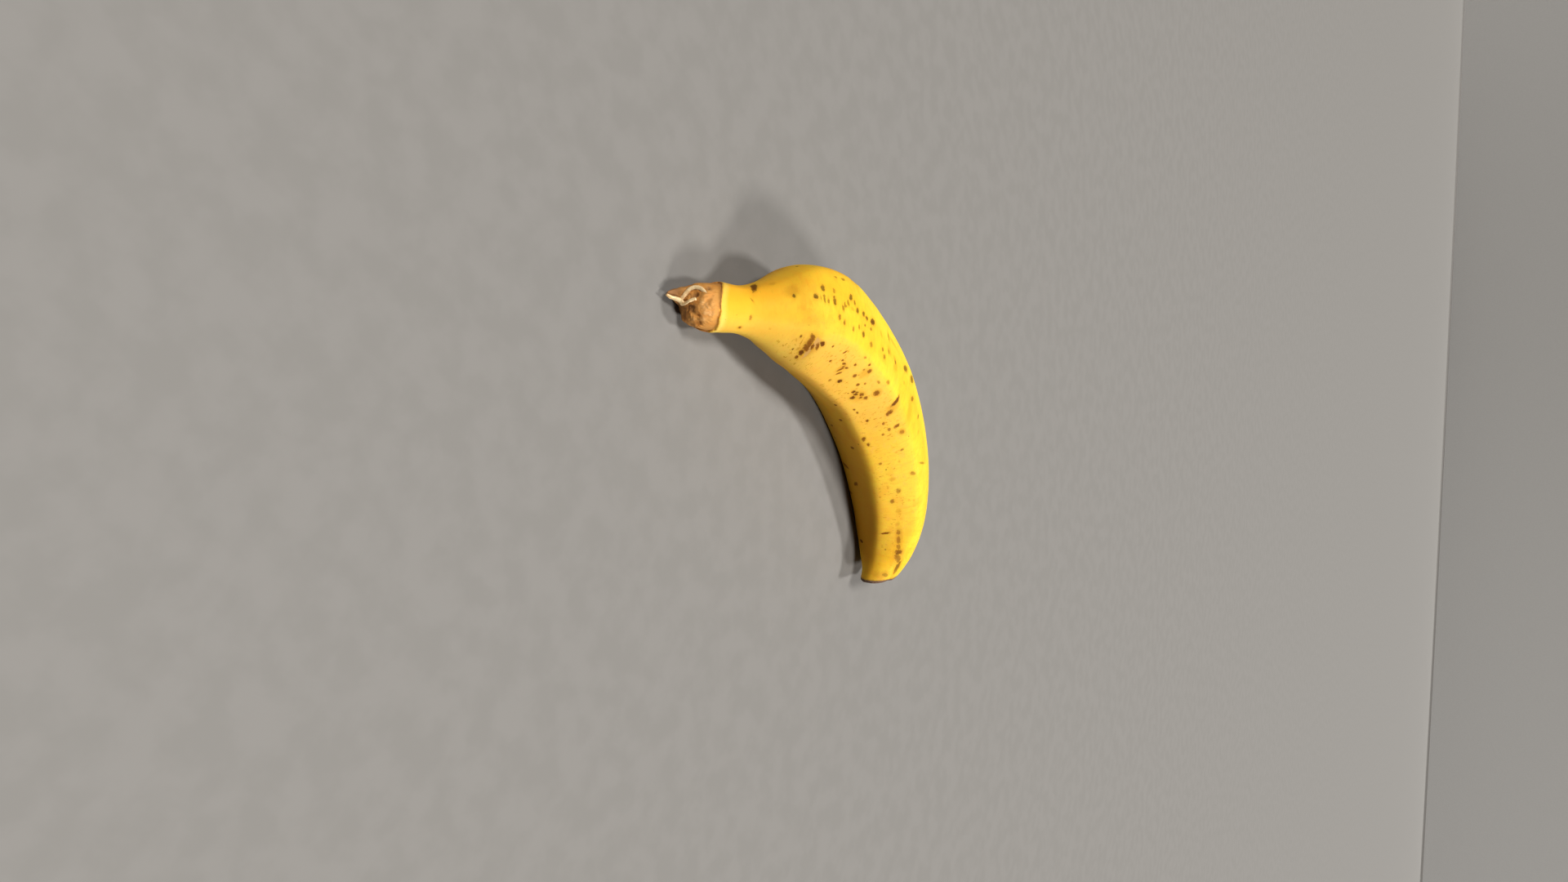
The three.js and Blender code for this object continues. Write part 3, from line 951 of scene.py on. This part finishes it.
    def assign_zones(self) -> None:
        """Gives the torn core and the blossom scar their own finishes."""
        faces = self.piece.data.polygons
        spot = self.line.straighten(read(faces, "center", 3) / MM)
        core = (spot.along < self.torn_back(spot.angle) + 0.5) & (spot.reach < self.lip_reach)
        scar = self.past_tip(spot) > -0.3
        zones = np.where(core, Zone.TORN, np.where(scar, Zone.SCAR, Zone.PEEL))
        faces.foreach_set("material_index", zones.astype(np.int32))

    def refine(self) -> None:
        """Rounds the faces into a smooth skin."""
        take(self.piece)
        round_off = self.piece.modifiers.new("round_off", "SUBSURF")
        round_off.levels = round_off.render_levels = self.fineness
        bpy.ops.object.modifier_apply(modifier=round_off.name)
        bpy.ops.object.shade_smooth()

    def shape(self) -> None:
        """Adds what a grown and torn surface has: unevenness, sunken bruises, fibres and a ragged lip."""
        points = points_of(self.piece)
        normals = read(self.piece.data.vertex_normals, "vector", 3)
        spot = self.straight()
        places = spot.places()
        past_lip = spot.along - self.torn_back(spot.angle)
        core = rise(self.lip_reach - 0.35 - spot.reach, 0, 0.5) * self.near_stem(spot)
        peel = (1 - core) * rise(past_lip, 0.5, 4)
        off_floor = rise(points[:, 2], 0.15, 1.5)

        # An uneven peel with sunken marks, and fibres and lobes on the torn core.
        uneven = self.waves.at(places) + self.ripples.at(places)
        sunken = np.zeros(len(points))
        for mark in self.marks:
            deepest = min(self.deepest, 0.05 * mark.width)
            sunken = np.maximum(sunken, rise(mark.depth(spot), -0.2, 0.6) * deepest)
        fibres = np.abs(self.fibres.at(places)) - 0.3
        lumps = self.lumps.at(places)
        swollen = np.sum([swell.relief(points) for swell in self.swells], axis=0)
        torn = 0.24 * fibres + 0.15 * lumps + swollen
        shift = peel * off_floor * (uneven - sunken) + core * off_floor * torn
        points = points + normals * shift[:, None]

        # A lip that is torn, frayed and a little swollen.
        lip = np.exp(-((past_lip / self.lip_depth) ** 2)) * rise(spot.reach, self.core_reach, self.lip_reach)
        pulled = self.tears.at(places * (0, 1, 1)) + self.frays.at(places)
        points = points + np.array(self.lip_pull) * (pulled * lip * off_floor)[:, None]
        points = points + normals * (self.lip_swell * lip * off_floor)[:, None]
        points[:, 2] = np.maximum(points[:, 2], 0)
        put_points(self.piece, points)
        # The crest height, read by the torn face's finish for its painted shade and painted highlight.
        crest = 0.5 + core * (0.35 * fibres + 0.25 * lumps + 0.5 * swollen)
        self.write("crest", np.clip(crest, 0, 1))

    def write(self, name: str, values: Numbers, on: str = "POINT") -> None:
        """Stores one value or vector for each point or face corner.

        Args:
            name: The attribute's name.
            values: A row of numbers, or of vectors.
            on: POINT, or CORNER for the corners of the faces.
        """
        kind, slot = ("FLOAT", "value") if values.ndim == 1 else ("FLOAT_VECTOR", "vector")
        layer = self.piece.data.attributes.new(name, kind, on)
        layer.data.foreach_set(slot, values.astype(np.float32).ravel())

    def place_spots(self, spot: Straightened) -> None:
        """Stores, for each face's corners, where they lie in the spot that is nearest to the face.

        Args:
            spot: Where the fruit's points are on the straight fruit.
        """
        mesh = self.piece.data
        corners = read(mesh.loops, "vertex_index", kind=np.int32)
        starts = read(mesh.polygons, "loop_start", kind=np.int32)
        sizes = read(mesh.polygons, "loop_total", kind=np.int32)
        face_of = np.repeat(np.arange(len(starts)), sizes)
        at_corner, at_face = spot.rows(corners), spot.rows(corners[starts])
        best = np.full(len(starts), np.inf)
        stored = np.full((len(corners), 3), FAR)
        for mark in self.marks:
            if mark.kind not in SPOT_DEPTHS:
                continue
            distance = np.hypot(*mark.within(at_face))
            nearer = distance < best
            best[nearer] = distance[nearer]
            chosen = np.flatnonzero(nearer[face_of])
            stored[chosen, :2] = np.stack(mark.within(at_corner.rows(chosen)), axis=1)
            stored[chosen, 2] = SPOT_DEPTHS[mark.kind]
        self.write("spots", np.clip(stored, -FAR, FAR), "CORNER")

    def describe(self) -> None:
        """Stores where each point is on the straight fruit, and how deep it is in a mark."""
        spot = self.straight()
        self.write("straight", spot.places())
        self.place_spots(spot)
        for kind in (STAIN, SCUFF):
            depths = [mark.depth(spot) for mark in self.marks if mark.kind is kind]
            self.write(kind.value, np.max(depths, axis=0))
        off_ridge = np.min([np.abs(half_turn(spot.angle - ridge)) for ridge in self.ridges], axis=0)
        self.write("ridge", np.clip(1 - off_ridge / self.ridge_width, 0, 1))
        self.write("from_lip", spot.along - self.torn_back(spot.angle))
        self.write("from_tip", -self.past_tip(spot))
        rim = np.exp(-(((spot.reach - self.rim_reach) / self.rim_width) ** 2))
        self.write("rim", rim * self.near_stem(spot))


# --- Strands at the ends ---


@dataclass(frozen=True)
class Strand:
    """A dry strand or ribbon."""

    path: tuple[Place, ...]  # The points that it follows.
    thick: float  # Half its thickness.
    taper: float  # The share of its thickness that is left at its end.
    tall: float = 0.0  # Half its height past the thickness; 0 for a round strand.

    def build(self, name: str) -> Piece:
        """Sweeps the strand along its path.

        Args:
            name: The piece's name.

        Returns:
            The strand as a mesh at its place.
        """
        bpy.ops.object.select_all(action="DESELECT")
        bpy.ops.curve.primitive_nurbs_path_add(location=(0, 0, 0))
        piece = bpy.context.object
        piece.name = name
        curve = piece.data
        curve.splines.clear()
        spline = curve.splines.new("NURBS")
        spline.points.add(len(self.path) - 1)
        for index, (point, place) in enumerate(zip(spline.points, self.path)):
            share = index / (len(self.path) - 1)
            point.co = (*(value * MM for value in place), 1)
            point.radius = 1 - (1 - self.taper) * share * share
        spline.use_endpoint_u = True
        spline.order_u = 3
        spline.resolution_u = 6
        curve.dimensions = "3D"
        curve.bevel_depth = self.thick * MM
        curve.bevel_resolution = 2
        curve.extrude = self.tall * MM
        curve.use_fill_caps = True
        take(piece)
        bpy.ops.object.convert(target="MESH")
        bpy.ops.object.transform_apply(location=True, rotation=True, scale=True)
        return piece


def gather(strands: list[Piece], name: str, finish: FibreFinish) -> Piece:
    """Joins strands into one piece and roughens it.

    Args:
        strands: The strands.
        name: The piece's name.
        finish: What they are made of.

    Returns:
        The joined piece.
    """
    take(strands[0])
    for strand in strands[1:]:
        strand.select_set(True)
    bpy.ops.object.join()
    piece = bpy.context.object
    piece.name = piece.data.name = name
    bpy.ops.object.mode_set(mode="EDIT")
    bpy.ops.mesh.select_all(action="SELECT")
    bpy.ops.mesh.remove_doubles(threshold=0.001 * MM)
    bpy.ops.mesh.normals_make_consistent(inside=False)
    bpy.ops.object.mode_set(mode="OBJECT")
    points = points_of(piece)
    kinks = [Bumps(0.12, (0.9, 0.9, 0.9), seed) for seed in (1.0, 7.0, 13.0)]
    points = points + np.stack([kink.at(points) for kink in kinks], axis=1)
    points[:, 2] = np.maximum(points[:, 2], 0.02)
    put_points(piece, points)
    bpy.ops.object.shade_smooth()
    piece.data.materials.clear()
    piece.data.materials.append(finish.make())
    return piece


@dataclass
class TornEnd:
    """The loose skins and fibres that stand from the torn stem."""

    curl: tuple[Place, ...] = (  # The path of the curled skin.
        (-75.9, -20.9, 11.4), (-76.6, -20.1, 10.4), (-77.3, -19.7, 9.2), (-77.8, -19.8, 7.8),
        (-78.0, -20.6, 6.6), (-77.7, -21.8, 5.7), (-77.3, -22.9, 4.8), (-76.8, -23.7, 4.1),
        (-76.0, -24.4, 4.0), (-75.9, -24.8, 5.0), (-76.5, -24.6, 6.6), (-76.9, -24.2, 8.0),
        (-76.6, -23.4, 9.4),
    )
    strip: tuple[Place, ...] = (  # The path of the strip that reaches furthest.
        (-75.9, -24.5, 4.6), (-76.8, -24.0, 4.0), (-78.1, -24.6, 3.7),
        (-79.3, -25.3, 3.2), (-80.4, -25.8, 2.9), (-81.4, -26.0, 2.7),
    )
    heart: Place = (-71.8, -21.4, 7.4)  # The middle of the torn face.
    spread: float = 6.2  # How far from it the fibres stand.
    bulge: float = 3.2  # How far its middle stands out.
    fall: float = 4.2  # How much less its edge does.
    fibres: int = 16  # How many fibres there are.
    seed: int = 11  # The seed of their draws.

    def fibre_paths(self) -> list[tuple[Place, ...]]:
        """Draws short bent paths that start on the torn face and lean outwards.

        Returns:
            The paths.
        """
        rng = random.Random(self.seed)
        out = Vector((-0.77, -0.63, -0.05))
        side = Vector((0.63, -0.77, 0.0))
        up = Vector((0, 0, 1))
        paths = []
        for _ in range(self.fibres):
            turn, share = rng.uniform(0, math.tau), math.sqrt(rng.uniform(0.02, 0.85))
            foot = Vector(self.heart) + (side * math.cos(turn) + up * math.sin(turn)) * self.spread * share
            foot = foot + out * (self.bulge - self.fall * share * share)
            lean = side * rng.uniform(-0.8, 0.8) + up * rng.uniform(-0.7, 0.8)
            reach = rng.uniform(0.6, 1.6)
            steps = [foot + (out * t + lean * t * t * 0.7) * reach for t in (0.0, 0.4, 0.8, 1.2)]
            paths.append(tuple(tuple(step) for step in steps))
        return paths

    def build(self) -> list[Piece]:
        """Makes the pieces.

        Returns:
            The curled skin with its strip, and the fibres.
        """
        skins = [
            Strand(self.curl, thick=0.46, taper=0.75, tall=0.18).build("curl"),
            Strand(self.strip, thick=0.5, taper=0.45, tall=0.35).build("strip"),
        ]
        cream = FibreFinish("torn_skin", (0.93, 0.69, 0.36), (0.68, 0.41, 0.17))
        tan = FibreFinish("stem_fibre", (0.60, 0.36, 0.14), (0.22, 0.10, 0.035))
        strands = [Strand(path, thick=0.2, taper=0.35).build("fibre") for path in self.fibre_paths()]
        return [gather(skins, "torn_skins", cream), gather(strands, "stem_fibres", tan)]


# --- Studio ---


def direction(azimuth: float, elevation: float) -> Vector:
    """The direction of an azimuth from +X and an elevation over the floor."""
    turn, lift = math.radians(azimuth), math.radians(elevation)
    return Vector((math.cos(lift) * math.cos(turn), math.cos(lift) * math.sin(turn), math.sin(lift)))


@dataclass(frozen=True)
class Light:
    """A broad, even light."""

    name: str
    azimuth: float  # Its direction from the fruit.
    elevation: float  # How high it hangs over the floor.
    softness: float  # How wide it looks from the fruit.
    strength: float  # How bright it is.

    def add(self) -> None:
        """Hangs the light."""
        towards = direction(self.azimuth, self.elevation)
        bpy.ops.object.light_add(type="SUN", location=towards)
        lamp = bpy.context.object
        lamp.name = self.name
        lamp.rotation_euler = towards.to_track_quat("Z", "Y").to_euler()
        lamp.data.angle = math.radians(self.softness)
        lamp.data.energy = self.strength


@dataclass
class Studio:
    """The floor, the wall round it, the lights and the camera."""

    side: float = 60.0  # The side of the floor.
    room: float = 14.0  # The radius of the wall.
    wall: float = 2.8  # Its height.
    target: Place = (-0.00012, -0.01713, 0.0)  # Where the camera looks.
    azimuth: float = -144.0  # The viewer's direction from the target, from +X.
    elevation: float = 32.6  # The viewer's height over the floor.
    distance: float = 0.36845  # From the target to the camera.
    roll: float = 92.8  # How far the camera is turned on its own axis.
    lens: float = 24.444  # Its focal length, in millimetres.
    sensor: float = 36.0  # The width of its sensor, in millimetres.
    nearest: float = 0.01  # How near it sees.
    lights: tuple[Light, ...] = (
        Light("window", 21, 63, 8, 1.97),
        Light("ceiling", 180, 65, 18, 2.92),
        Light("lamp", -45, 46, 12, 2.05),
    )
    air: Colour = (0.95, 0.97, 1.0)  # The colour of the faint light from all round.
    glow: float = 0.01  # How bright that is.

    def add_camera(self) -> None:
        """Places the camera."""
        back = direction(self.azimuth, self.elevation)
        level = Vector((0, 0, 1)).cross(back).normalized()
        up = back.cross(level)
        turn = math.radians(self.roll)
        right = level * math.cos(turn) + up * math.sin(turn)
        top = up * math.cos(turn) - level * math.sin(turn)
        bpy.ops.object.camera_add()
        camera = bpy.context.object
        axes = Matrix((right, top, back)).transposed().to_4x4()
        camera.matrix_world = Matrix.Translation(Vector(self.target) + back * self.distance) @ axes
        camera.data.lens = self.lens
        camera.data.sensor_width = self.sensor
        camera.data.clip_start = self.nearest
        bpy.context.scene.camera = camera

    def add_floor(self) -> None:
        """Lays the floor."""
        bpy.ops.mesh.primitive_plane_add(size=self.side, location=(0, 0, 0))
        floor = bpy.context.object
        floor.name = "floor"
        finish = PaleFinish("pale_floor", (0.160, 0.149, 0.133), (0.171, 0.159, 0.143))
        floor.data.materials.append(finish.make())

    def add_wall(self) -> None:
        """Stands a low pale wall round the floor."""
        middle = (0, 0, self.wall / 2)
        bpy.ops.mesh.primitive_cylinder_add(
            vertices=96, radius=self.room, depth=self.wall, end_fill_type="NOTHING", location=middle
        )
        bpy.ops.object.transform_apply(location=True, rotation=True, scale=True)
        bpy.ops.object.shade_smooth()
        wall = bpy.context.object
        wall.name = "wall"
        finish = PaleFinish("pale_wall", (0.58, 0.56, 0.53), (0.60, 0.58, 0.55))
        wall.data.materials.append(finish.make())

    def build(self) -> None:
        """Sets up floor, wall, lights, camera and surroundings."""
        self.add_floor()
        self.add_wall()
        for light in self.lights:
            light.add()
        self.add_camera()
        scene = bpy.context.scene
        scene.world = scene.world or bpy.data.worlds.new("studio")
        scene.world.use_nodes = True
        surround = scene.world.node_tree.nodes["Background"]
        surround.inputs["Color"].default_value = (*self.air, 1.0)
        surround.inputs["Strength"].default_value = self.glow
        scene.view_settings.view_transform = "Standard"


def main() -> None:
    """Builds the banana and its studio, and notes the sizes."""
    logging.basicConfig(level=logging.INFO, format="%(name)s: %(message)s")
    fruit = Fruit().build(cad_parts["banana"])
    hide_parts("banana")
    pieces = [fruit, *TornEnd().build()]
    for piece in pieces:
        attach(piece, "root")
        faces = sum(len(face.vertices) - 2 for face in piece.data.polygons)
        log.info("%s: %d triangles", piece.name, faces)
    Studio().build()


if __name__ == "__main__":
    main()
